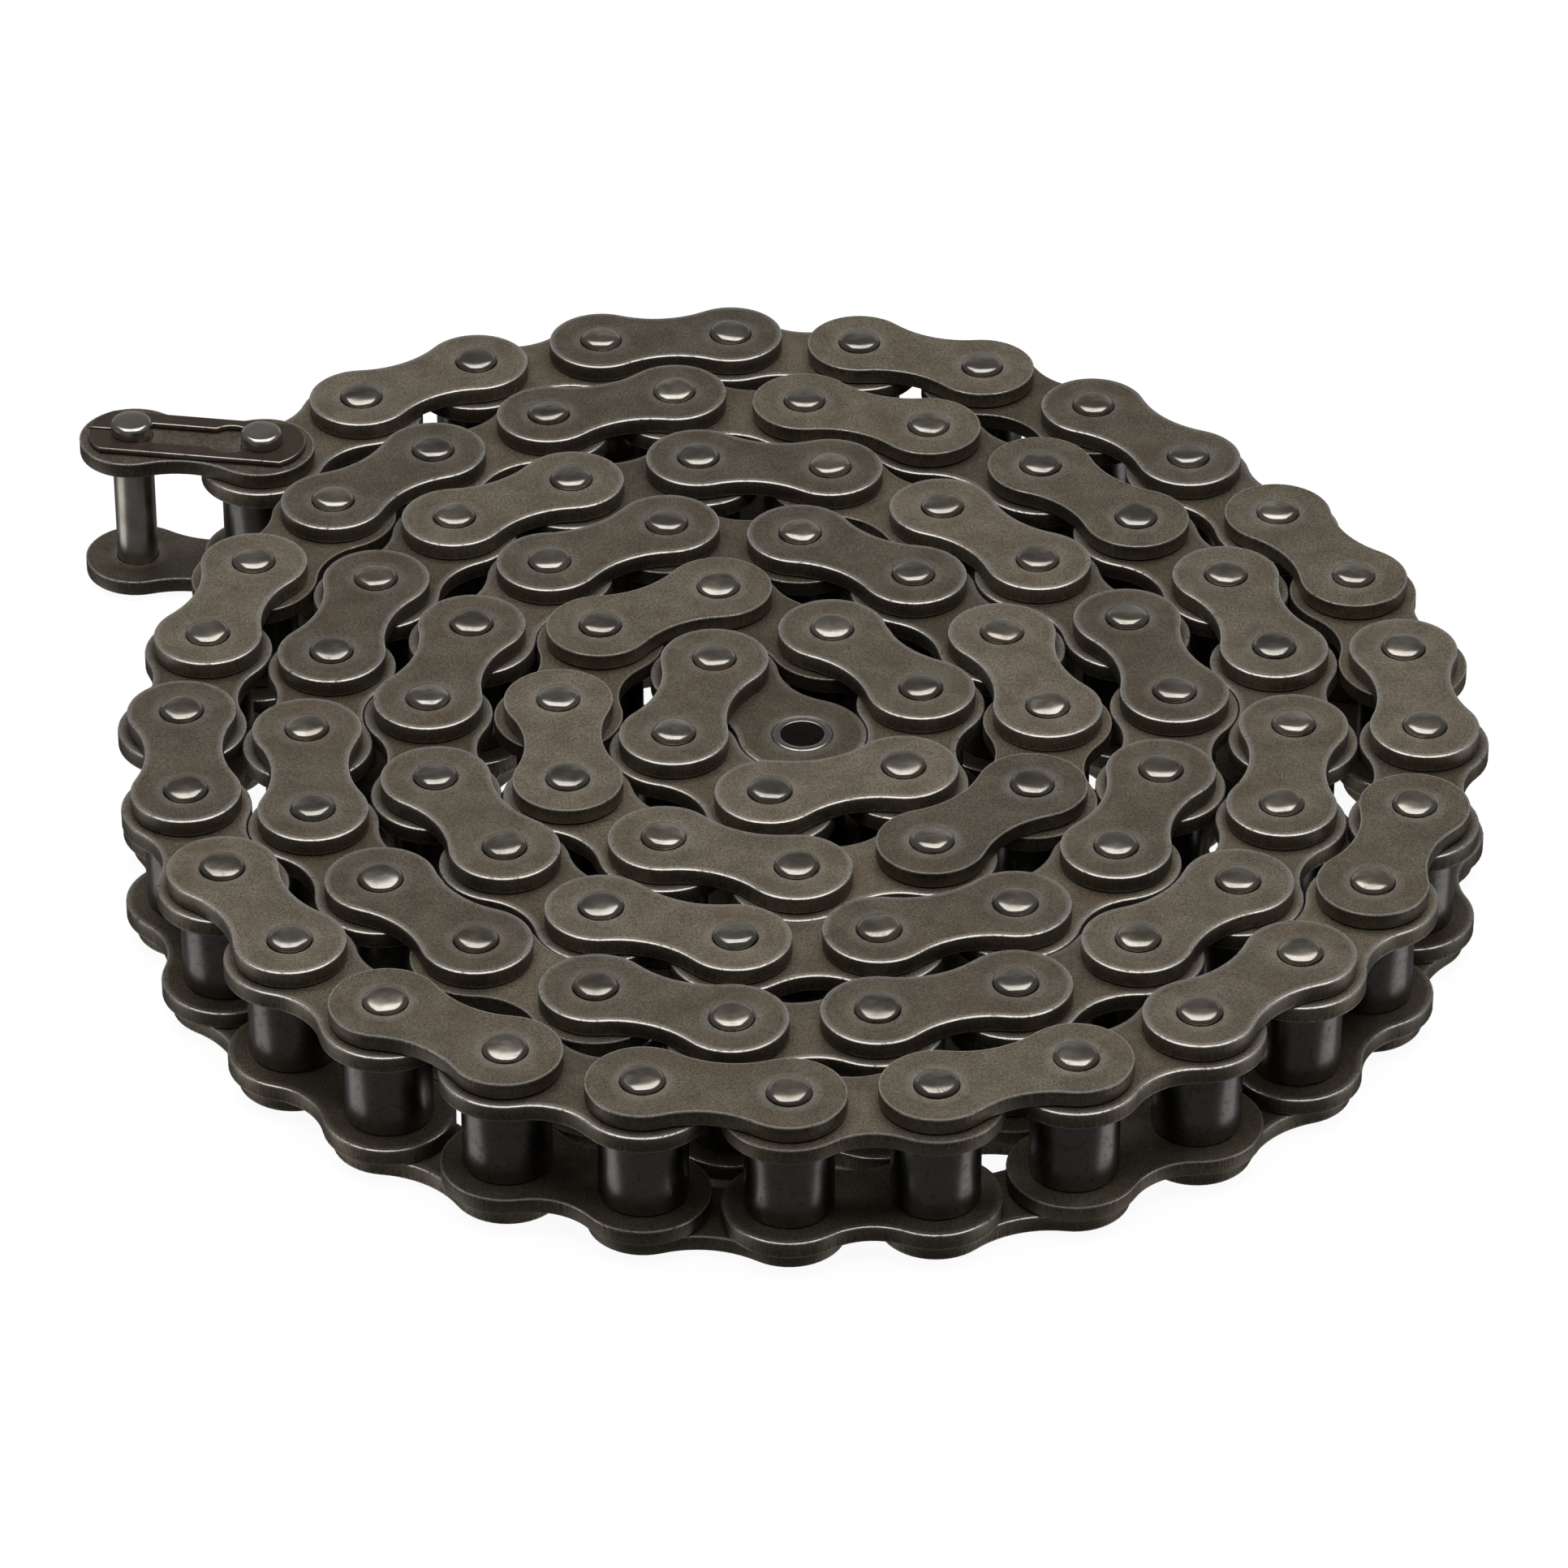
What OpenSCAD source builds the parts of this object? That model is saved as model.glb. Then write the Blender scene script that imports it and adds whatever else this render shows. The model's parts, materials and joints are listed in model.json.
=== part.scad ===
// Drive chain: a 3/4-inch-pitch roller chain, lying on its side and coiled up tightly.
// The coil is wound from the inside out. The free bush at its centre is centred on the origin,
// Z points up from the surface the chain lies on, and the connecting link is the outer end.
// Every plate, pin, bush and roller is a separate solid.

/* [Chain] */
// Distance between neighbouring pin axes
pitch = 19.05; // [12.7:0.005:25.4]
// Pitches from the free bush to the connecting link's free pin
pitches = 92; // [40:2:120]

/* [Plates] */
// Thickness of every link plate
plate_t = 2.4; // [1.5:0.1:3.5]
// Height of an inner plate across its round ends
inner_plate_h = 17.75; // [12:0.05:18]
// Height of an inner plate at its waist
inner_waist_h = 12.3; // [8:0.1:14]
// Height of an outer plate across its round ends
outer_plate_h = 15.1; // [10:0.05:17]
// Height of an outer plate at its waist
outer_waist_h = 10.6; // [7:0.1:12]
// Gap between an inner plate and the outer plate beside it
plate_gap = 0.2; // [0.1:0.05:0.5]
// Gap between an inner plate and the connecting link's cover plate, which is pressed on by hand
cover_gap = 0.1; // [0.08:0.01:0.3]

/* [Pins, bushes and rollers] */
// Diameter of the pins
pin_d = 5.94; // [4:0.01:7]
// Height of a riveted pin end above its plate
rivet_proud = 1.1; // [0.5:0.1:2]
// Outer diameter of the bushes
bush_d = 8.35; // [6:0.05:9.5]
// Radial gap between a pin and its bush
pin_play = 0.04; // [0.02:0.01:0.1]
// Diameter of the rollers
roller_d = 11.91; // [8:0.01:12]
// Length of the rollers
roller_l = 12.5; // [8:0.1:16]
// Radial gap between a bush and its roller
roller_play = 0.05; // [0.02:0.01:0.1]
// Gap between a roller's end and the plate beside it
roller_side_play = 0.1; // [0.05:0.05:0.3]

/* [Spring clip] */
// Thickness of the spring clip
clip_t = 0.85; // [0.6:0.05:2]
// Width of the spring clip
clip_w = 10.3; // [8:0.1:12]
// Radius of the clip's round ends, about the pin axes
clip_end_r = 6.3; // [5.5:0.1:8]
// Width of the slot between the clip's two prongs
clip_slot = 4.9; // [4:0.1:6]
// Width of the split that opens the clip's free end
clip_split = 0.5; // [0.3:0.1:1]
// Height of the grooved pin ends above the clip
clip_proud = 1.85; // [0.8:0.05:3]

/* [Coil] */
// Gap left where one turn of the coil rests against the turn inside it
coil_gap = 0.15; // [0.05:0.05:1]
// Direction of the innermost link, from the free bush to the first pin, in degrees
start_angle = 129.5; // [0:0.5:360]
// How far the connecting link is swung out of the coil, in degrees
end_swing = 65; // [0:0.5:90]

/* [Hidden] */
$fn = 64;
inner_in = roller_l / 2 + roller_side_play;
inner_out = inner_in + plate_t;
outer_in = inner_out + plate_gap;
outer_out = outer_in + plate_t;
rivet_end = outer_out + rivet_proud;
bush_half = inner_out + 0.05;
touch = inner_plate_h + coil_gap;
neck_bite = 0.04;      // the waist arcs cut this far into the round ends, so that they meet cleanly
over = 1;              // how far a cut runs past the faces it goes through
rivet_flat_r = 2.4;    // radius of the flat top of a riveted pin end
rivet_edge = 0.4;      // height of the rounded edge around that flat
roller_edge = 0.35;    // chamfer on a roller's ends
bush_edge = 0.25;      // chamfer on a bush's ends
groove_d = 4.7;        // diameter of the clip groove
groove_play = 0.05;    // gap above and below the clip in its groove
pin_edge = 0.45;       // chamfer on a grooved pin's end
eye_d = 7;             // round opening that lets the clip pass over a pin end
eye_offset = 4.6;      // distance from that opening to the pin beside it
open_angle = 135;      // start of the sweep that swings a link into the coil

plate_colour = [0.36, 0.34, 0.31];
inner_colour = [0.31, 0.29, 0.27];
pin_colour = [0.55, 0.53, 0.50];
bush_colour = [0.45, 0.43, 0.41];
roller_colour = [0.13, 0.12, 0.12];
clip_colour = [0.33, 0.30, 0.28];

// ---- How the coil lies ----

function wrap(a) = a - 360 * floor(a / 360);

// How far a link hinged at pin c can swing in from direction ref before its far end
// touches the plate end around pin q.
function swing_to(c, q, ref) =
    let (v = q - c, d = norm(v))
    d >= pitch + touch
        ? 360
        : wrap(atan2(v[1], v[0]) - acos((pitch * pitch + d * d - touch * touch) / (2 * pitch * d)) - ref);

// Direction of the next link: swung inwards until it rests on an earlier plate end.
function next_heading(pins, heading) =
    let (ref = heading - open_angle, last = len(pins) - 1)
    ref + min([for (j = [0:last - 1]) swing_to(pins[last], pins[j], ref)]);

function step(p, heading) = p + pitch * [cos(heading), sin(heading)];

// Pins from the inside out. The last link is swung out of the coil by end_swing.
function wind(pins, heading) =
    len(pins) > pitches
        ? pins
        : let (
              free = next_heading(pins, heading),
              h = len(pins) == pitches ? free - end_swing : free
          )
          wind(concat(pins, [step(pins[len(pins) - 1], h)]), h);

coil_pins_xy = wind([[0, 0], step([0, 0], start_angle)], start_angle);

// Pin 0 is the connecting link's free pin. Link k runs from pin k - 1 to pin k, so the
// odd links are outer links and the even ones inner links.
function pin_xy(i) = coil_pins_xy[pitches - i];
function link_heading(k) = let (v = pin_xy(k) - pin_xy(k - 1)) atan2(v[1], v[0]);

first_fixed = 14;      // links from here inwards are held by the turns around them

module at_link(k) translate(pin_xy(k - 1)) rotate([0, 0, link_heading(k)]) children();

module at_both_ends() for (x = [0, pitch]) translate([x, 0, 0]) children();

// ---- Single pieces, each drawn about its own middle ----

function neck_r(end_r, waist_r) =
    (pitch * pitch / 4 + waist_r * waist_r - end_r * end_r) / (2 * (end_r - waist_r));

// Two round ends joined by a waist whose arcs run smoothly into them, with a hole in each end.
module plate(end_r, waist_r, hole_r, z)
{
    r = neck_r(end_r, waist_r);
    share = (end_r + neck_bite / 2) / (end_r + r);
    x = share * pitch / 2;
    y = share * (waist_r + r);
    translate([0, 0, z]) difference()
    {
        union()
        {
            at_both_ends() cylinder(r = end_r, h = plate_t);
            linear_extrude(plate_t) polygon([[x, y], [pitch - x, y], [pitch - x, -y], [x, -y]]);
        }
        for (side = [-1, 1])
            translate([pitch / 2, side * (waist_r + r), -over])
                cylinder(r = r + neck_bite, h = plate_t + 2 * over);
        at_both_ends() translate([0, 0, -over]) cylinder(r = hole_r, h = plate_t + 2 * over);
    }
}

module outer_plate(k, side)
{
    color(plate_colour) at_link(k)
        plate(outer_plate_h / 2, outer_waist_h / 2, pin_d / 2, side > 0 ? outer_in : -outer_out);
}

module inner_plate(k, side)
{
    color(inner_colour) at_link(k)
        plate(inner_plate_h / 2, inner_waist_h / 2, bush_d / 2, side > 0 ? inner_in : -inner_out);
}

// A pin riveted at both ends.
module riveted_pin()
{
    color(pin_colour) rotate_extrude()
        polygon([
            [0, -rivet_end], [rivet_flat_r, -rivet_end], [pin_d / 2, rivet_edge - rivet_end],
            [pin_d / 2, rivet_end - rivet_edge], [rivet_flat_r, rivet_end], [0, rivet_end]
        ]);
}

module outer_pins(k) at_link(k) at_both_ends() riveted_pin();

module bush()
{
    inner_r = pin_d / 2 + pin_play;
    color(bush_colour) rotate_extrude()
        polygon([
            [inner_r, -bush_half], [bush_d / 2 - bush_edge, -bush_half], [bush_d / 2, bush_edge - bush_half],
            [bush_d / 2, bush_half - bush_edge], [bush_d / 2 - bush_edge, bush_half], [inner_r, bush_half]
        ]);
}

module inner_bushes(k) at_link(k) at_both_ends() bush();

module roller()
{
    bore_r = bush_d / 2 + roller_play;
    half = roller_l / 2;
    color(roller_colour) rotate_extrude()
        polygon([
            [bore_r, -half], [roller_d / 2 - roller_edge, -half], [roller_d / 2, roller_edge - half],
            [roller_d / 2, half - roller_edge], [roller_d / 2 - roller_edge, half], [bore_r, half]
        ]);
}

// end 0 is the roller on pin k - 1, end 1 the roller on pin k.
module inner_roller(k, end) at_link(k) translate([end * pitch, 0, 0]) roller();

// ---- Connecting link ----

cover_low = inner_out + cover_gap;
groove_low = cover_low + plate_t + groove_play / 2;
clip_low = groove_low + groove_play;
groove_high = clip_low + clip_t + groove_play;
grooved_end = groove_high + clip_proud;

module cover_plate()
{
    color(plate_colour) at_link(1)
        plate(outer_plate_h / 2, outer_waist_h / 2, pin_d / 2, cover_low);
}

// Riveted below, grooved for the spring clip above.
module grooved_pin()
{
    color(pin_colour) rotate_extrude()
        polygon([
            [0, -rivet_end], [rivet_flat_r, -rivet_end], [pin_d / 2, rivet_edge - rivet_end],
            [pin_d / 2, groove_low], [groove_d / 2, groove_low], [groove_d / 2, groove_high],
            [pin_d / 2, groove_high], [pin_d / 2, grooved_end - pin_edge],
            [pin_d / 2 - pin_edge, grooved_end], [0, grooved_end]
        ]);
}

// A straight-sided strip whose ends are round about the two pins.
module clip_outline()
{
    translate([0, -clip_w / 2]) square([pitch, clip_w]);
    intersection()
    {
        at_both_ends() circle(r = clip_end_r);
        translate([-clip_end_r, -clip_w / 2]) square([pitch + 2 * clip_end_r, clip_w]);
    }
}

// The two prongs grip the grooves. Their split end points away from the rest of the chain.
module spring_clip()
{
    slot_r = clip_slot / 2;
    color(clip_colour) at_link(1) translate([0, 0, clip_low]) linear_extrude(clip_t)
        difference()
        {
            clip_outline();
            at_both_ends() circle(r = slot_r);
            translate([0, -slot_r]) square([pitch, clip_slot]);
            translate([pitch - eye_offset, 0]) circle(d = eye_d);
            translate([-clip_end_r - over, -clip_split / 2]) square([clip_end_r + over, clip_split]);
        }
}

// ---- The fixed part of the coil, its pieces grouped by kind ----

module coil_outer_plates() for (k = [first_fixed + 1:2:pitches - 1], side = [-1, 1]) outer_plate(k, side);
module coil_pins() for (k = [first_fixed + 1:2:pitches - 1]) outer_pins(k);
module coil_inner_plates() for (k = [first_fixed:2:pitches - 2], side = [-1, 1]) inner_plate(k, side);
module coil_bushes() for (k = [first_fixed:2:pitches - 2]) inner_bushes(k);
module coil_rollers() for (k = [first_fixed:2:pitches - 2], end = [0, 1]) inner_roller(k, end);
module end_link_plates() for (side = [-1, 1]) inner_plate(pitches, side);
module end_link_rollers() for (end = [0, 1]) inner_roller(pitches, end);

coil_outer_plates();
coil_pins();
coil_inner_plates();
coil_bushes();
coil_rollers();
end_link_plates();
inner_bushes(pitches);  // end_link_bushes
end_link_rollers();

outer_plate(13, 1);  // link_13_top_plate
outer_plate(13, -1);  // link_13_bottom_plate
outer_pins(13);  // link_13_pins

inner_plate(12, 1);  // link_12_top_plate
inner_plate(12, -1);  // link_12_bottom_plate
inner_bushes(12);  // link_12_bushes
inner_roller(12, 0);  // link_12_roller_1
inner_roller(12, 1);  // link_12_roller_2

outer_plate(11, 1);  // link_11_top_plate
outer_plate(11, -1);  // link_11_bottom_plate
outer_pins(11);  // link_11_pins

inner_plate(10, 1);  // link_10_top_plate
inner_plate(10, -1);  // link_10_bottom_plate
inner_bushes(10);  // link_10_bushes
inner_roller(10, 0);  // link_10_roller_1
inner_roller(10, 1);  // link_10_roller_2

outer_plate(9, 1);  // link_09_top_plate
outer_plate(9, -1);  // link_09_bottom_plate
outer_pins(9);  // link_09_pins

inner_plate(8, 1);  // link_08_top_plate
inner_plate(8, -1);  // link_08_bottom_plate
inner_bushes(8);  // link_08_bushes
inner_roller(8, 0);  // link_08_roller_1
inner_roller(8, 1);  // link_08_roller_2

outer_plate(7, 1);  // link_07_top_plate
outer_plate(7, -1);  // link_07_bottom_plate
outer_pins(7);  // link_07_pins

inner_plate(6, 1);  // link_06_top_plate
inner_plate(6, -1);  // link_06_bottom_plate
inner_bushes(6);  // link_06_bushes
inner_roller(6, 0);  // link_06_roller_1
inner_roller(6, 1);  // link_06_roller_2

outer_plate(5, 1);  // link_05_top_plate
outer_plate(5, -1);  // link_05_bottom_plate
outer_pins(5);  // link_05_pins

inner_plate(4, 1);  // link_04_top_plate
inner_plate(4, -1);  // link_04_bottom_plate
inner_bushes(4);  // link_04_bushes
inner_roller(4, 0);  // link_04_roller_1
inner_roller(4, 1);  // link_04_roller_2

outer_plate(3, 1);  // link_03_top_plate
outer_plate(3, -1);  // link_03_bottom_plate
outer_pins(3);  // link_03_pins

inner_plate(2, 1);  // link_02_top_plate
inner_plate(2, -1);  // link_02_bottom_plate
inner_bushes(2);  // link_02_bushes
inner_roller(2, 0);  // link_02_roller_1
inner_roller(2, 1);  // link_02_roller_2

outer_plate(1, -1);  // connecting_pin_plate
at_link(1) at_both_ends() grooved_pin();  // connecting_pins
cover_plate();  // connecting_cover_plate
spring_clip();
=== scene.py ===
import json
import math
import random

import bmesh
import bpy
import numpy as np
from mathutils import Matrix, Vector
from mathutils.geometry import tessellate_polygon


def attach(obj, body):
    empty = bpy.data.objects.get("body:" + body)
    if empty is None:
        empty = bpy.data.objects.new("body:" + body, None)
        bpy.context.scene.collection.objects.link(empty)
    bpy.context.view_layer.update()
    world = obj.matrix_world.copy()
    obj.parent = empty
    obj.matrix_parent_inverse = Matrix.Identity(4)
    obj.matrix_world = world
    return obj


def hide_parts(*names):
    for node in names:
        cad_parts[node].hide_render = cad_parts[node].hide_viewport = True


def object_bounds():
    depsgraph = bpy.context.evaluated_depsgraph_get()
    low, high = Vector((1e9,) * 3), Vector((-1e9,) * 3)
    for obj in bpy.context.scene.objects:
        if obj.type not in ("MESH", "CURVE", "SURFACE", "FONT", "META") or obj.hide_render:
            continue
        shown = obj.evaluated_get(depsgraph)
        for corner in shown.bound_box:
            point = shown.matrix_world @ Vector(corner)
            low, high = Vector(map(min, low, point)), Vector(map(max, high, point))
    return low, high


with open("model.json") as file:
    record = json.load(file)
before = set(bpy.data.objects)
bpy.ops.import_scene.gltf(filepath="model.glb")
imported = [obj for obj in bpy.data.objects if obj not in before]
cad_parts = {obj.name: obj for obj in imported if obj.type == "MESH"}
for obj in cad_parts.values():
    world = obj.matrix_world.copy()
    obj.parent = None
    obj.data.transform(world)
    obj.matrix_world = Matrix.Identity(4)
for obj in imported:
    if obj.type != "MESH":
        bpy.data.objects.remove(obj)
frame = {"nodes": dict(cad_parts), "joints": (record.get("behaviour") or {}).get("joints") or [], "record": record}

# The looks of a roller chain lying coiled up. Every plate, pin, bush and roller is built again here
# as a finished piece, in the place that its CAD solid has. Lengths are in metres.

CAD_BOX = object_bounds()
MM = 0.001
FULL_TURN = 2 * math.pi

PITCH = 19.05 * MM
OUTER_WAIST_R, INNER_WAIST_R = 5.3 * MM, 6.15 * MM
PIN_R, BUSH_R = 2.97 * MM, 4.175 * MM
BUSH_BORE_R, ROLLER_BORE_R = 3.01 * MM, 4.225 * MM

random.seed(19)


# ---- Where the CAD pieces lie ----

def islands(node):
    """The separate solids of a CAD node, each as an array of its points."""
    mesh = frame["nodes"][node].data
    owner = list(range(len(mesh.vertices)))

    def root(i):
        while owner[i] != i:
            owner[i] = owner[owner[i]]
            i = owner[i]
        return i

    at_place = {}
    for i, v in enumerate(mesh.vertices):
        first = at_place.setdefault(tuple(round(x, 6) for x in v.co), i)
        owner[root(i)] = root(first)
    for edge in mesh.edges:
        a, b = edge.vertices
        owner[root(a)] = root(b)
    groups = {}
    for i, v in enumerate(mesh.vertices):
        groups.setdefault(root(i), []).append(tuple(v.co))
    found = [np.array(g) for g in groups.values()]
    return sorted(found, key=lambda g: tuple(np.round(g.mean(0), 5)))


class Place:
    """Middle, heading, length, width and half height of one solid. It heads along its length."""

    def __init__(self, points):
        flat = points[:, :2]
        spread = flat - flat.mean(0)
        values, axes = np.linalg.eigh(spread.T @ spread)
        self.heading = math.atan2(axes[1, 1], axes[0, 1])
        self.turn()
        local = flat @ np.array([[self.c, -self.s], [self.s, self.c]])
        low, high = local.min(0), local.max(0)
        mid = (low + high) / 2
        self.x = self.c * mid[0] - self.s * mid[1]
        self.y = self.s * mid[0] + self.c * mid[1]
        self.length, self.width = high - low
        bottom, top = points[:, 2].min(), points[:, 2].max()
        self.z, self.half = (bottom + top) / 2, (top - bottom) / 2

    def turn(self):
        self.c, self.s = math.cos(self.heading), math.sin(self.heading)

    def face(self, point):
        """Turns the place end for end if need be, so that its +x side is the one towards point."""
        if (point[0] - self.x) * self.c + (point[1] - self.y) * self.s < 0:
            self.heading += math.pi
            self.turn()

    def put(self, p, flip=1):
        """A local point in the row frame. With flip -1 the piece lies the other side up."""
        x, y, z = p[0], p[1] * flip, p[2] * flip
        return (self.x + self.c * x - self.s * y, self.y + self.s * x + self.c * y, self.z + z)


def places(node):
    return [Place(points) for points in islands(node)]


# ---- Building meshes ----

SHARP_ANGLE = math.radians(32)    # an edge that turns by more than this is drawn sharp


class Shape:
    """Gathers the points, faces and surface values of one mesh, solid by solid.

    wear is 1 on a polished edge, and lower on plate edges towards the table as painted shade,
    shear 1 on the torn part of a punched wall, near_pin 1 beside a hole, and tone a number from
    0 to 1 that is the same all over one solid."""

    VALUES = ("wear", "shear", "near_pin", "tone")

    def __init__(self):
        self.points, self.faces, self.flat = [], [], []
        self.values = {name: [] for name in self.VALUES}

    def loop(self, points, **values):
        first = len(self.points)
        self.points += points
        for name in self.VALUES:
            self.values[name] += [values.get(name, 0.0)] * len(points)
        return list(range(first, len(self.points)))

    def bridge(self, a, b):
        """Quads between two closed loops that have the same number of points."""
        n = len(a)
        self.faces += [(a[i], a[(i + 1) % n], b[(i + 1) % n], b[i]) for i in range(n)]

    def bridge_all(self, loops):
        for a, b in zip(loops, loops[1:]):
            self.bridge(a, b)

    def fill(self, *loops):
        """A flat face inside the first loop, with the other loops as holes in it."""
        index = [i for loop in loops for i in loop]
        outlines = [[Vector(self.points[i]) for i in loop] for loop in loops]
        first = len(self.faces)
        self.faces += [tuple(index[i] for i in tri) for tri in tessellate_polygon(outlines)]
        self.flat += range(first, len(self.faces))

    def to_object(self, name):
        mesh = bpy.data.meshes.new(name)
        mesh.from_pydata(self.points, [], self.faces)
        for value, numbers in self.values.items():
            mesh.attributes.new(value, "FLOAT", "POINT").data.foreach_set("value", numbers)
        piece = bpy.data.objects.new(name, mesh)
        bpy.context.scene.collection.objects.link(piece)
        face_outwards(mesh)
        mesh.shade_smooth()
        mesh.set_sharp_from_angle(angle=SHARP_ANGLE)
        for i in self.flat:
            mesh.polygons[i].use_smooth = False
        return piece


def face_outwards(mesh):
    bm = bmesh.new()
    bm.from_mesh(mesh)
    bmesh.ops.recalc_face_normals(bm, faces=bm.faces)
    bm.to_mesh(mesh)
    bm.free()


def arc(x, y, r, start, end, count, closed=False):
    """Points on an arc about (x, y), from angle start to end, the end included unless closed."""
    steps = count if closed else count - 1
    angles = [start + (end - start) * i / steps for i in range(count)]
    return [(x + r * math.cos(a), y + r * math.sin(a)) for a in angles]


def circle(r, count, x=0.0):
    return arc(x, 0, r, 0, FULL_TURN, count, closed=True)


# ---- Plates ----

END_POINTS = 32        # points on each round end of a plate
NECK_POINTS = 12       # points on each hollow of its waist
HOLE_POINTS = 28       # points on each hole's edge
# Most plates lie with their rolled side up. 1 is up and -1 is down.
ROLLED_SIDES = (1, 1, 1, -1)

# Section of a punched plate's rim, from the burr side up to the rolled side:
# inset from the outline, depth under the rolled face, wear, shear.
RIM = [
    (0.30, 2.40, 0.0, 0.0),
    (0.08, 2.40, 0.9, 0.0),
    (0.00, 2.31, 0.9, 0.1),
    (0.02, 2.05, 0.0, 1.0),
    (0.00, 1.30, 0.0, 0.3),
    (0.00, 0.34, 0.1, 0.0),
    (0.04, 0.15, 0.8, 0.0),
    (0.14, 0.055, 1.0, 0.0),
    (0.31, 0.018, 0.4, 0.0),
    (1.00, 0.00, 0.0, 0.0),
]
# Section of a hole's wall, from the rolled face down:
# extra radius, depth, wear, nearness to the pin.
HOLE = [
    (1.60, 0.00, 0.0, 0.0),
    (0.22, 0.00, 0.2, 1.0),
    (0.08, 0.10, 0.4, 1.0),
    (0.02, 0.30, 0.0, 1.0),
    (0.02, 2.28, 0.0, 1.0),
    (0.12, 2.40, 0.3, 1.0),
    (1.60, 2.40, 0.0, 0.0),
]
SHADED_UNDERSIDE_WEAR = 0.3   # share of the bright edge colour kept on edges towards the table, next to the upper ones: painted shade
TORN_DEPTH = 0.012     # how far the torn part of a wall wanders, in millimetres


def outline(end_r, waist_r, inset):
    """The plate's outline, moved inwards: two round ends joined by two hollow waist arcs."""
    half = PITCH / 2
    neck_r = (half ** 2 + waist_r ** 2 - end_r ** 2) / (2 * (end_r - waist_r))
    neck_y = waist_r + neck_r
    meet = math.atan2(neck_y, half)    # direction in which an end arc and a waist arc meet
    r, hollow = end_r - inset, neck_r + inset
    inner = slice(1, -1)
    return (
        arc(half, 0, r, meet - math.pi, math.pi - meet, END_POINTS)
        + arc(0, neck_y, hollow, -meet, meet - math.pi, NECK_POINTS)[inner]
        + arc(-half, 0, r, meet, FULL_TURN - meet, END_POINTS)
        + arc(0, -neck_y, hollow, math.pi - meet, meet, NECK_POINTS)[inner]
    )


def add_plate(shape, place, waist_r, hole_r, flip):
    """One punched plate. Its rolled side is up with flip 1 and down with flip -1."""
    end_r = place.width / 2
    tone = random.random()

    def loop(points, depth, wear, rough=0.0, **values):
        z = place.half - depth * MM
        # Painted shade: edges facing the table get less of the bright edge colour.
        if z * flip < 0:
            wear *= SHADED_UNDERSIDE_WEAR
        scales = [1 + random.uniform(-rough, rough) * MM / end_r for _ in points]
        raised = [place.put((x * k, y * k, z), flip) for (x, y), k in zip(points, scales)]
        return shape.loop(raised, tone=tone, wear=wear, **values)

    rim = [loop(outline(end_r, waist_r, inset * MM), depth, wear, TORN_DEPTH * shear, shear=shear)
           for inset, depth, wear, shear in RIM]
    shape.bridge_all(rim)
    tops, bottoms = [], []
    for x in (-PITCH / 2, PITCH / 2):
        wall = [loop(circle(hole_r + extra * MM, HOLE_POINTS, x), depth, wear, near_pin=near)
                for extra, depth, wear, near in HOLE]
        shape.bridge_all(wall)
        tops.append(wall[0])
        bottoms.append(wall[-1])
    shape.fill(rim[-1], *tops)
    shape.fill(rim[0], *bottoms)


# ---- Turned pieces ----

TURN, FINE_TURN = 36, 48       # points round a riveted pin, and round the other turned pieces


def add_turned(shape, place, section, count=TURN, ring=False, warp=None, tone=None):
    """Turns a section of (radius, height above the middle, wear) about the solid's upright axis.
    A ring's section is closed; any other section starts and ends on the axis."""
    tone = random.random() if tone is None else tone
    warp = warp or (lambda x, y, z: (x, y, z))
    loops = []
    for r, z, wear in section:
        points = [place.put(warp(x, y, z)) for x, y in circle(r, count)]
        loops.append(shape.loop(points, wear=wear, tone=tone))
    shape.bridge_all(loops)
    if ring:
        shape.bridge(loops[-1], loops[0])
    else:
        shape.fill(loops[0])
        shape.fill(loops[-1])


# Section of a riveted pin end, from its middle outwards: radius, depth under the end, wear.
RIVET = [
    (0.60, 0.000, 0.2),
    (1.50, 0.025, 0.2),
    (2.05, 0.080, 0.3),
    (2.36, 0.150, 0.5),
    (2.58, 0.250, 0.8),
    (2.74, 0.370, 1.0),
    (2.86, 0.520, 0.7),
    (2.93, 0.700, 0.2),
    (2.95, 0.880, 0.0),
    (2.93, 1.050, 0.0),
]
LEAN = 0.07                    # steepest slope of a riveted end
PEEN_DEPTH = 0.9 * MM          # how far down a riveted end the hammering reaches
PEEN_SINK = 0.05 * MM          # how far the end sinks all over


def waves(low, high, lobes):
    """One wave round the pin for each number of lobes: size, lobes, start."""
    return [(random.uniform(low, high), n, random.uniform(0, FULL_TURN)) for n in lobes]


def peened(half):
    """Each riveted end is hammered a little out of true: lobed, uneven and tilted near its top."""
    swells = waves(0.01, 0.035, (2, 3, 5))
    lean = [(random.uniform(-LEAN, LEAN), random.uniform(-LEAN, LEAN)) for _ in range(2)]
    dents = waves(0.01 * MM, 0.065 * MM, (2, 3, 4))

    def warp(x, y, z):
        share = max(0.0, 1 - (half - abs(z)) / PEEN_DEPTH)
        a = math.atan2(y, x)
        swell = 1 + share * (1 - share) * 2 * sum(d * math.cos(n * a + p) for d, n, p in swells)
        dent = sum(d * (1 + math.cos(n * a + p)) for d, n, p in dents)
        dent *= (math.hypot(x, y) / PIN_R) ** 2
        slope = lean[0 if z > 0 else 1]
        rise = share * (slope[0] * x + slope[1] * y - dent - PEEN_SINK)
        return (x * swell, y * swell, z + math.copysign(1, z) * min(rise, half - abs(z)))

    return warp


def rivet(half, sign):
    return [(r * MM, sign * (half - depth * MM), wear) for r, depth, wear in RIVET]


def add_riveted_pin(shape, place):
    section = rivet(place.half, -1) + rivet(place.half, 1)[::-1]
    add_turned(shape, place, section, warp=peened(place.half))


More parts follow.
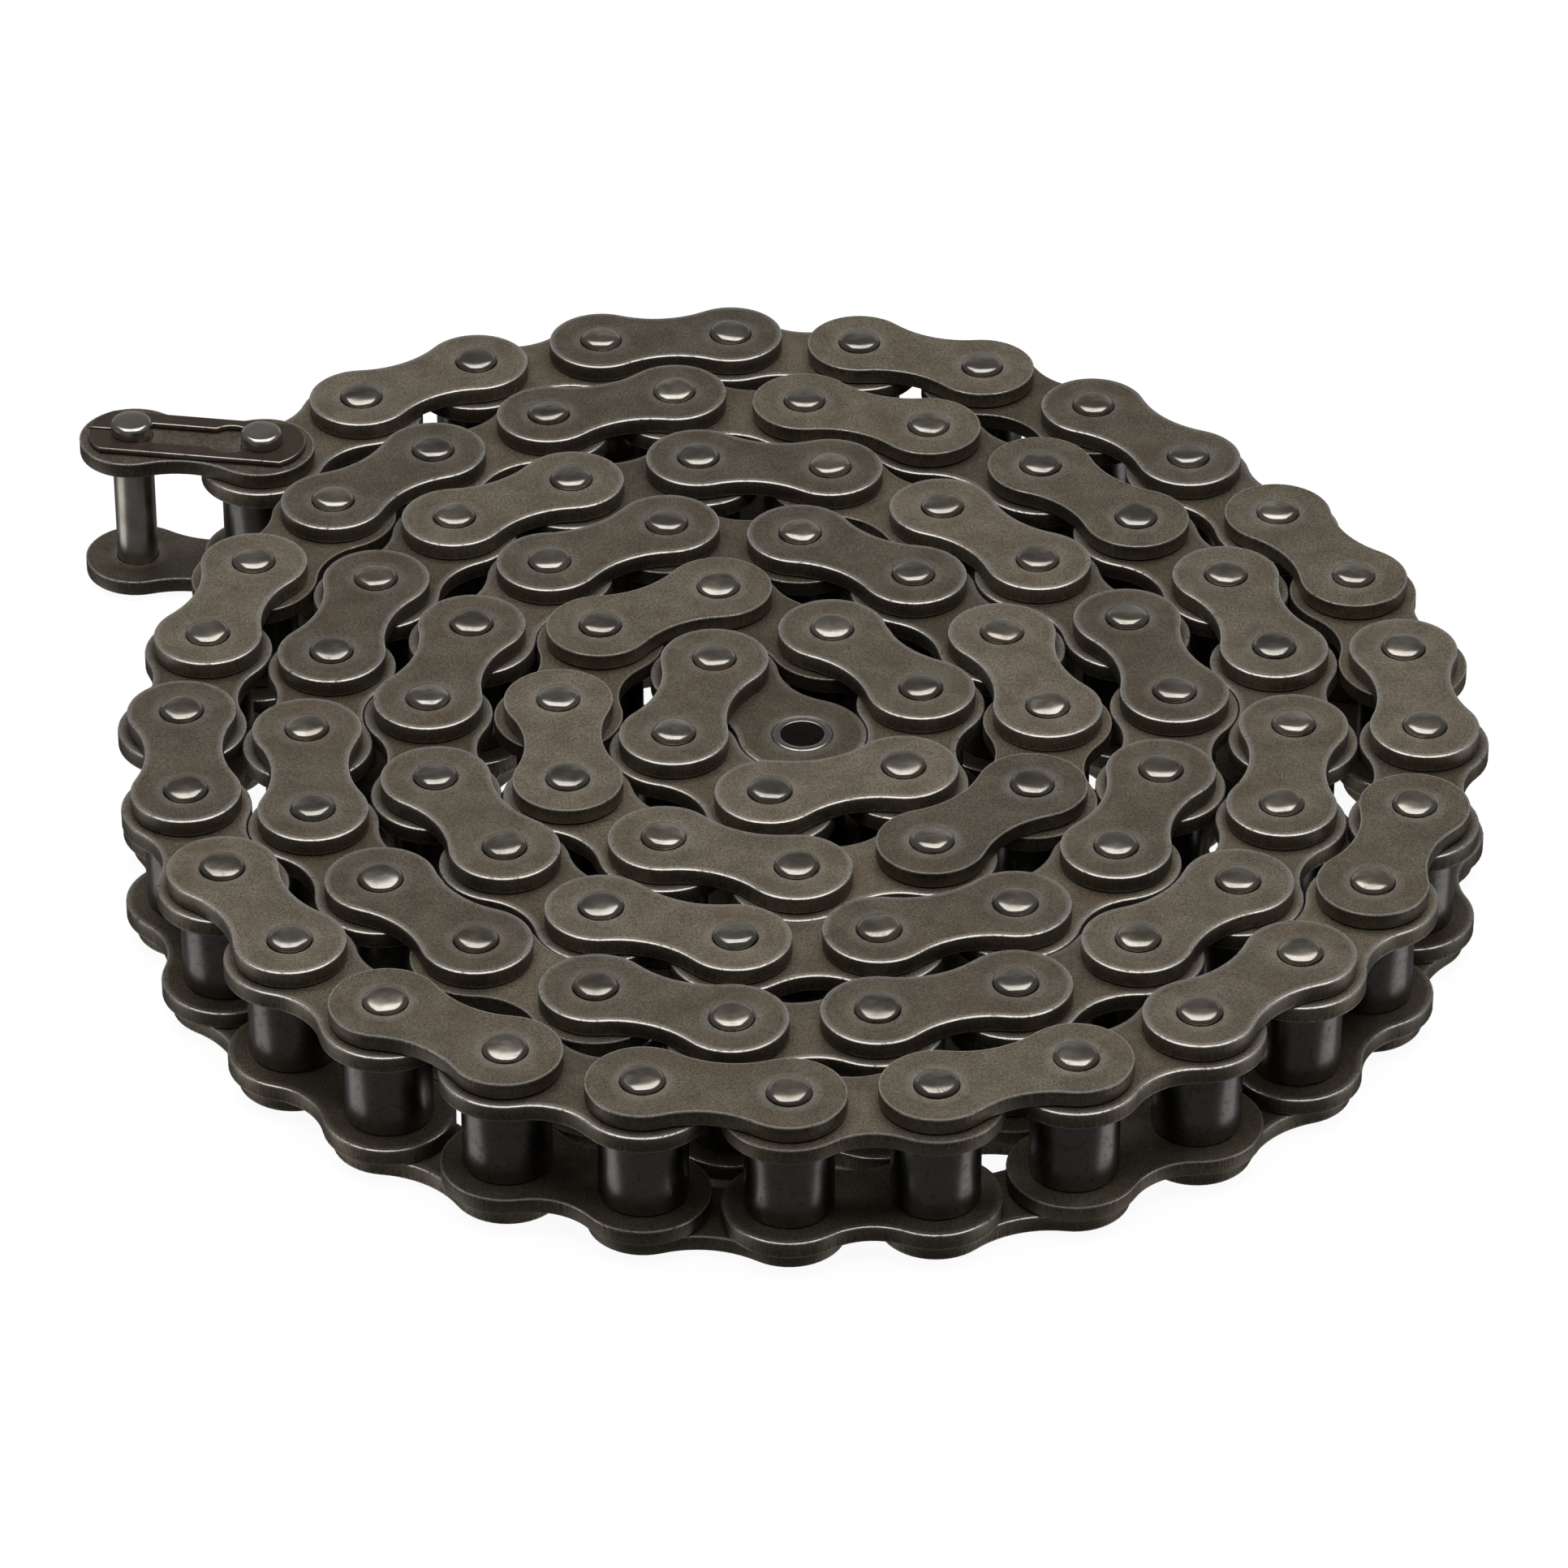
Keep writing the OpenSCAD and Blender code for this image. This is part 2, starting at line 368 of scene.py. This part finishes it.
# Section of a grooved pin's upper end, from its middle outwards: radius, depth under the end, wear.
GROOVED_END = [
    (0.60, 0.000, 0.2),
    (1.60, 0.005, 0.2),
    (2.42, 0.020, 0.4),
    (2.58, 0.060, 0.9),
    (2.83, 0.290, 1.0),
    (2.93, 0.430, 1.0),
    (2.97, 0.580, 0.6),
    (2.97, 1.800, 0.5),
    (2.90, 1.850, 0.2),
    (2.35, 1.850, 0.0),
    (2.35, 2.800, 0.0),
    (2.90, 2.800, 0.0),
    (2.97, 2.870, 0.0),
]


def add_grooved_pin(shape, place):
    """Riveted below; chamfered and grooved for the spring clip above."""
    groove = [(r * MM, place.half - depth * MM, wear) for r, depth, wear in GROOVED_END]
    add_turned(shape, place, rivet(place.half, -1) + groove[::-1], FINE_TURN, tone=1.0)


def ring_section(inner_r, outer_r, half, edge, inner_edge, edge_wear):
    """Closed section of a tube with rounded ends, outer corners first: radius, height, wear."""
    steps = 4
    quarter = [math.pi / 2 * i / (steps - 1) for i in range(steps)]
    outer = [(outer_r - edge * (1 - math.cos(a)), half - edge * (1 - math.sin(a)), edge_wear)
             for a in quarter]
    inner = [(inner_r + inner_edge * (1 - math.cos(a)), half - inner_edge * (1 - math.sin(a)),
              edge_wear) for a in reversed(quarter)]
    upper = outer + inner
    lower = [(r, -z, wear) for r, z, wear in reversed(upper)]
    return upper + lower


def add_tube(shape, place, bore_r, edge, inner_edge, edge_wear):
    section = ring_section(bore_r, place.width / 2, place.half, edge, inner_edge, edge_wear)
    add_turned(shape, place, section, FINE_TURN, ring=True)


def add_bush(shape, place):
    add_tube(shape, place, BUSH_BORE_R, edge=0.30 * MM, inner_edge=0.15 * MM, edge_wear=1.0)


def add_roller(shape, place):
    add_tube(shape, place, ROLLER_BORE_R, edge=0.40 * MM, inner_edge=0.15 * MM, edge_wear=0.8)


# ---- Spring clip ----

CLIP_SLOT = 4.9 * MM           # width of its slot, which grips the pins' grooves
CLIP_SPLIT = 0.5 * MM          # gap between its prongs
CLIP_EYE = 7.0 * MM            # width of the round opening it is threaded on by
CLIP_EYE_OFFSET = 4.6 * MM     # how far the opening lies from the closed end's pin
CLIP_TONE = 0.4
# Section of the clip's rim from its middle up: inset, depth under the face, wear.
CLIP_RIM = [
    (0.00, 0.20, 0.4),
    (0.03, 0.10, 1.0),
    (0.10, 0.03, 0.8),
    (0.20, 0.00, 0.0),
]


def mirrored(points):
    return [(x, -y) for x, y in reversed(points)]


def clip_outline(length, width):
    """One closed line: round the outside from the split to the split, then in through the slot,
    past the eye, round the far pin and back. The split end is at low x."""
    slot_r, eye_r, split = CLIP_SLOT / 2, CLIP_EYE / 2, CLIP_SPLIT / 2
    near_pin, far_pin = -PITCH / 2, PITCH / 2
    end_r = length / 2 - PITCH / 2
    corner = math.asin(width / 2 / end_r)
    eye_turn = math.asin(slot_r / eye_r)
    outer = arc(near_pin, 0, end_r, math.pi + math.asin(split / end_r), math.pi + corner, 9)
    outer += arc(far_pin, 0, end_r, -corner, 0, 9)
    inner = (
        arc(far_pin, 0, slot_r, 0, -math.pi / 2, 9)
        + arc(far_pin - CLIP_EYE_OFFSET, 0, eye_r, -eye_turn, eye_turn - math.pi, 12)
        + arc(near_pin, 0, slot_r, -math.pi / 2, math.asin(split / slot_r) - math.pi, 10)
    )
    return outer + mirrored(outer)[1:] + mirrored(inner) + inner[1:]


def shrink(points, d):
    """A closed outline that runs anticlockwise, moved inwards by d."""
    line = np.array(points)
    ahead = np.roll(line, -1, 0) - line
    ahead /= np.linalg.norm(ahead, axis=1)[:, None]
    behind = np.roll(ahead, 1, 0)
    mid = ahead + behind
    mid /= np.linalg.norm(mid, axis=1)[:, None]
    reach = d / np.clip((mid * ahead).sum(1), 0.5, 1)
    inwards = np.column_stack([-mid[:, 1], mid[:, 0]])
    return [tuple(p) for p in line + inwards * reach[:, None]]


def add_clip(shape, place):
    base = clip_outline(place.length, place.width)
    half_rims = []
    for side in (-1, 1):
        rims = []
        for inset, depth, wear in CLIP_RIM:
            z = side * (place.half - depth * MM)
            line = [place.put((x, y, z)) for x, y in shrink(base, inset * MM)]
            rims.append(shape.loop(line, wear=wear if side > 0 else 0.0, tone=CLIP_TONE))
        half_rims.append(rims)
    shape.bridge_all(half_rims[0][::-1] + half_rims[1])
    shape.fill(half_rims[0][-1])
    shape.fill(half_rims[1][-1])


# ---- Materials ----

class Recipe:
    """A material's node tree, with a short way to add a node to it."""

    def __init__(self, name):
        self.material = bpy.data.materials.new(name)
        self.material.use_nodes = True
        self.tree = self.material.node_tree
        self.surface = self.tree.nodes["Principled BSDF"]

    def feed(self, node, inputs):
        for key, value in inputs.items():
            if isinstance(value, bpy.types.NodeSocket):
                self.tree.links.new(value, node.inputs[key])
            else:
                node.inputs[key].default_value = value

    def add(self, kind, inputs=(), out=0, **settings):
        node = self.tree.nodes.new(kind)
        for key, value in settings.items():
            setattr(node, key, value)
        self.feed(node, dict(inputs))
        return node.outputs[out]

    def place(self):
        return self.add("ShaderNodeTexCoord", out="Object")

    def value(self, name):
        return self.add("ShaderNodeAttribute", out="Fac", attribute_name=name)

    def noise(self, size_mm, where, detail, rough):
        """Soft noise whose features are about size_mm across."""
        return self.add("ShaderNodeTexNoise", {"Vector": where, "Scale": 1 / (size_mm * MM),
                                               "Detail": detail, "Roughness": rough})

    def stretched(self, where, x, y, z):
        return self.add("ShaderNodeMapping", {"Vector": where, "Scale": (x, y, z)})

    def math(self, operation, a, b=0.0):
        return self.add("ShaderNodeMath", {0: a, 1: b}, operation=operation)

    def ramp(self, value, low, high, to_low=0.0, to_high=1.0):
        return self.add("ShaderNodeMapRange",
                        {"Value": value, "From Min": low, "From Max": high,
                         "To Min": to_low, "To Max": to_high},
                        interpolation_type="SMOOTHSTEP")

    def mix(self, amount, a, b, blend="MIX"):
        """Two colours mixed. Each is a socket or (r, g, b)."""
        a, b = [c if isinstance(c, bpy.types.NodeSocket) else (*c, 1.0) for c in (a, b)]
        return self.add("ShaderNodeMix", {0: amount, 6: a, 7: b}, out=2,
                        data_type="RGBA", blend_type=blend)


def scaled(r, colour, factor):
    """A colour made lighter or darker by a number that varies over the surface."""
    grey = r.add("ShaderNodeCombineColor", {0: factor, 1: factor, 2: factor})
    return r.mix(1.0, colour, grey, "MULTIPLY")


def stain_mask(r, where, stains):
    """Blotches with streaks in them, strongest beside the holes."""
    blotch = r.ramp(r.noise(9.0, where, 4.0, 0.65), 0.50, 0.72)
    streaky = r.ramp(r.noise(1.6, where, 3.0, 0.6), 0.35, 0.65, 0.3, 1.0)
    around = r.add("ShaderNodeMath", {0: r.value("near_pin"), 1: 0.55, 2: 0.45},
                   operation="MULTIPLY_ADD")
    return r.math("MULTIPLY", r.math("MULTIPLY", blotch, streaky),
                  r.math("MULTIPLY", around, stains))


def painted_upright_shade(r, painted_wall_shade):
    """Painted shade by facing: 1 on flat faces, falling to the given wall factor on upright ones, so that walls
    are drawn darker as if in shade.
    """
    normal = r.add("ShaderNodeNewGeometry", out="Normal")
    up = r.add("ShaderNodeSeparateXYZ", {0: normal}, out=2)
    return r.ramp(r.math("ABSOLUTE", up), 0.15, 0.75, painted_wall_shade, 1.0)


def layered_bumps(r, *layers):
    """Bumps on bumps. Each layer is a height, a strength and a distance."""
    normal = {}
    for height, strength, distance in layers:
        bump = r.add("ShaderNodeBump", {"Height": height, "Strength": strength,
                                        "Distance": distance, **normal})
        normal = {"Normal": bump}
    return bump


def worn_steel(name, low, high, rust, bright, metallic, rough, coarse,
               stains=0.5, polish=1.0, painted_wall_shade=1.0, uneven=0.5, fine=3.0):
    """Oiled steel. low and high are its darker and lighter patches, rust its stains, and bright
    the bare metal along its edges, which polish makes stronger. coarse is how strong its grain
    is, uneven how deep its shallow dents are, fine how much detail those have, and the wall
    factor is painted shade: how much darker its upright faces are drawn than its flat ones."""
    r = Recipe(name)
    where = r.place()
    shear = r.value("shear")
    grain = r.noise(0.30, where, 4.0, 0.7)
    torn = r.ramp(r.noise(0.5, r.stretched(where, 1.0, 1.0, 0.12), 3.0, 0.6), 0.35, 0.70)
    stain = stain_mask(r, where, stains)
    nicks = r.ramp(r.noise(0.9, where, 4.0, 0.75), 0.28, 0.50)
    bare = r.math("MULTIPLY", r.math("MULTIPLY", r.value("wear"), nicks), polish)

    colour = r.mix(r.ramp(r.noise(5.0, where, 5.0, 0.6), 0.30, 0.70), low, high)
    colour = scaled(r, colour, r.ramp(r.value("tone"), 0.0, 1.0, 0.76, 1.18))
    colour = scaled(r, colour, r.ramp(grain, 0.25, 0.75, 1 - 0.42 * coarse, 1 + 0.42 * coarse))
    colour = r.mix(stain, colour, rust)
    colour = r.mix(r.math("MULTIPLY", shear, r.math("MULTIPLY", torn, 0.9)), colour,
                   tuple(0.5 * c for c in low))
    # Painted shade: upright faces are drawn darker than flat ones.
    colour = scaled(r, colour, painted_upright_shade(r, painted_wall_shade))
    colour = r.mix(bare, colour, bright)

    roughness = r.ramp(grain, 0.3, 0.7, rough - 0.05 * coarse, rough + 0.07 * coarse)
    roughness = r.math("ADD", roughness, r.math("MULTIPLY", stain, 0.12))
    roughness = r.math("SUBTRACT", roughness, r.math("MULTIPLY", bare, 0.5 * rough))

    normal = layered_bumps(r, (grain, 0.5 * coarse, 0.02 * MM),
                           (r.noise(2.4, where, fine, 0.6), uneven, 0.06 * MM),
                           (r.math("MULTIPLY", torn, shear), 0.9, 0.05 * MM))
    r.feed(r.surface, {"Base Color": colour, "Metallic": metallic, "Roughness": roughness,
                       "Normal": normal})
    return r.material


# Plate settings; the wall factor among them is painted shade on upright faces.
PLATE_STEEL = dict(metallic=0.75, rough=0.48, coarse=1.25, stains=0.8, painted_wall_shade=0.72, uneven=0.6)
# One for each slot. A node that has an entry of its own takes that one instead.
MATERIALS = {
    "outer_plate": worn_steel(
        "outer_plate_steel", low=(0.165, 0.138, 0.100), high=(0.230, 0.197, 0.146),
        rust=(0.14, 0.070, 0.028), bright=(0.62, 0.59, 0.545), **PLATE_STEEL),
    "inner_plate": worn_steel(
        "inner_plate_steel", low=(0.150, 0.122, 0.086), high=(0.205, 0.172, 0.124),
        rust=(0.13, 0.068, 0.028), bright=(0.57, 0.54, 0.495), **PLATE_STEEL),
    "pin": worn_steel(
        "pin_steel", low=(0.19, 0.165, 0.125), high=(0.43, 0.395, 0.335),
        rust=(0.17, 0.105, 0.055), bright=(0.44, 0.42, 0.39), metallic=1.0, rough=0.27,
        coarse=0.08, stains=2.0, polish=0.7, uneven=1.0, fine=0.5),
    "connecting_pins": worn_steel(
        "bare_pin_steel", low=(0.28, 0.26, 0.225), high=(0.42, 0.395, 0.355),
        rust=(0.17, 0.105, 0.055), bright=(0.56, 0.54, 0.51), metallic=1.0, rough=0.29,
        coarse=0.08, stains=0.7, polish=0.8, uneven=0.3, fine=0.5),
    "bush": worn_steel(
        "bush_steel", low=(0.16, 0.145, 0.125), high=(0.23, 0.21, 0.185),
        rust=(0.13, 0.08, 0.04), bright=(0.46, 0.44, 0.41), metallic=0.95, rough=0.30,
        coarse=0.25, uneven=0.15),
    "roller": worn_steel(
        "roller_steel", low=(0.066, 0.062, 0.058), high=(0.098, 0.093, 0.087),
        rust=(0.08, 0.055, 0.035), bright=(0.24, 0.23, 0.22), metallic=1.0, rough=0.36,
        coarse=0.10, stains=0.15, polish=0.5, uneven=0.05),
    "clip": worn_steel(
        "clip_steel", low=(0.122, 0.095, 0.071), high=(0.156, 0.122, 0.093),
        rust=(0.13, 0.075, 0.035), bright=(0.54, 0.50, 0.46), metallic=1.0, rough=0.42,
        coarse=0.12, stains=0.3, painted_wall_shade=0.7, uneven=0.1),
}


# ---- The pieces ----

BODIES = frame["record"]["behaviour"]["bodies"]
BODY_OF = {node: body for body, nodes in BODIES.items() for node in nodes}
SLOT_OF = {part["node"]: part["material_slot"] for part in frame["record"]["subparts"]}
JOINT_AT = {joint["name"]: joint["pos_m"] for joint in frame["joints"]}


def add_solid(shape, node, place):
    slot = SLOT_OF[node]
    if slot == "outer_plate":
        add_plate(shape, place, OUTER_WAIST_R, PIN_R, random.choice(ROLLED_SIDES))
    elif slot == "inner_plate":
        add_plate(shape, place, INNER_WAIST_R, BUSH_R, random.choice(ROLLED_SIDES))
    elif node == "connecting_pins":
        add_grooved_pin(shape, place)
    elif slot == "pin":
        add_riveted_pin(shape, place)
    elif slot == "bush":
        add_bush(shape, place)
    elif slot == "roller":
        add_roller(shape, place)
    else:
        place.face(JOINT_AT["hinge_01"])
        add_clip(shape, place)


def finish_node(node):
    shape = Shape()
    for place in places(node):
        add_solid(shape, node, place)
    piece = shape.to_object("finished_" + node)
    piece.data.materials.append(MATERIALS.get(node) or MATERIALS[SLOT_OF[node]])
    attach(piece, BODY_OF[node])
    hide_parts(node)


for name in sorted(SLOT_OF):
    finish_node(name)


# ---- Floor, backdrop, light and camera ----

def stage_object(name, points, faces, material):
    mesh = bpy.data.meshes.new(name)
    mesh.from_pydata(points, [], faces)
    mesh.materials.append(material)
    mesh.shade_smooth()
    piece = bpy.data.objects.new(name, mesh)
    bpy.context.scene.collection.objects.link(piece)
    piece.visible_diffuse = False
    piece.visible_glossy = False
    piece.visible_shadow = False


def pale(name, glow, white=0.0):
    """A pale surface that shines by itself, so that it stays pale, and takes soft shadows."""
    r = Recipe(name)
    r.feed(r.surface, {"Base Color": (white, white, white, 1.0), "Roughness": 1.0,
                       "Specular IOR Level": 0.0,
                       "Emission Color": (1.0, 1.0, 1.0, 1.0), "Emission Strength": glow})
    return r.material


STAGE_R = 5.0
STAGE_POINTS = 96
STAGE_ROWS = 24
FLOOR_Z = CAD_BOX[0].z


def make_floor():
    rim = [(x, y, FLOOR_Z) for x, y in circle(STAGE_R, STAGE_POINTS)]
    stage_object("floor", rim, [tuple(range(STAGE_POINTS))], pale("floor_paint", 0.94, 0.15))


def make_backdrop():
    """A dome around the stage, open below."""
    count, rows = STAGE_POINTS, STAGE_ROWS
    rings = []
    for j in range(rows + 1):
        tilt = math.pi / 2 * j / (rows + 1)
        r, z = STAGE_R * math.cos(tilt), FLOOR_Z + STAGE_R * math.sin(tilt)
        rings.append([(x, y, z) for x, y in circle(r, count)])
    points = [p for ring in rings for p in ring] + [(0, 0, FLOOR_Z + STAGE_R)]
    faces = [(j * count + i, j * count + (i + 1) % count,
              (j + 1) * count + (i + 1) % count, (j + 1) * count + i)
             for j in range(rows) for i in range(count)]
    faces += [(rows * count + i, rows * count + (i + 1) % count, len(points) - 1)
              for i in range(count)]
    stage_object("backdrop", points, faces, pale("backdrop_paint", 1.05))


def aim_at(holder, at, aim):
    """Puts a lamp or a camera in its place and turns it towards aim."""
    holder.location = at
    holder.rotation_mode = "QUATERNION"
    holder.rotation_quaternion = (Vector(aim) - Vector(at)).to_track_quat("-Z", "Y")


def softbox(name, at, aim, size, power):
    """A rectangular lamp that the camera doesn't see, with its power in watts."""
    light = bpy.data.lights.new(name, "AREA")
    light.shape = "RECTANGLE"
    light.size, light.size_y = size
    light.energy = power
    lamp = bpy.data.objects.new(name, light)
    bpy.context.scene.collection.objects.link(lamp)
    aim_at(lamp, at, aim)
    lamp.visible_camera = False


def room_light(strength, grey):
    world = bpy.data.worlds.new("room")
    bpy.context.scene.world = world
    world.use_nodes = True
    background = world.node_tree.nodes["Background"]
    background.inputs["Color"].default_value = (grey, grey, grey, 1.0)
    background.inputs["Strength"].default_value = strength


def make_camera(at, aim, lens):
    """The photograph's view: from the front and 35 degrees above the table."""
    camera = bpy.data.cameras.new("camera")
    camera.lens, camera.sensor_width = lens, 36.0
    camera.clip_start, camera.clip_end = 0.01, 20.0
    holder = bpy.data.objects.new("camera", camera)
    bpy.context.scene.collection.objects.link(holder)
    aim_at(holder, at, aim)
    bpy.context.scene.camera = holder


make_floor()
make_backdrop()
softbox("overhead", at=(0.0, 0.02, 0.90), aim=(0, 0, 0), size=(1.30, 1.00), power=8.0)
softbox("table_left", at=(-0.98, -0.09, -0.69), aim=(0, 0, 0), size=(0.75, 0.85), power=1.8)
softbox("table_right", at=(0.98, -0.09, -0.69), aim=(0, 0, 0), size=(0.75, 0.85), power=1.8)
softbox("back_wall", at=(0.0, 2.0, 0.50), aim=(0, 0, 0.5), size=(3.0, 1.0), power=2.4)
room_light(strength=1.0, grey=0.12)
make_camera(at=(-0.0025, -0.9348, 0.6527), aim=(-0.0025, -0.0168, 0.0121), lens=190.25)
bpy.context.scene.view_settings.view_transform = "Standard"
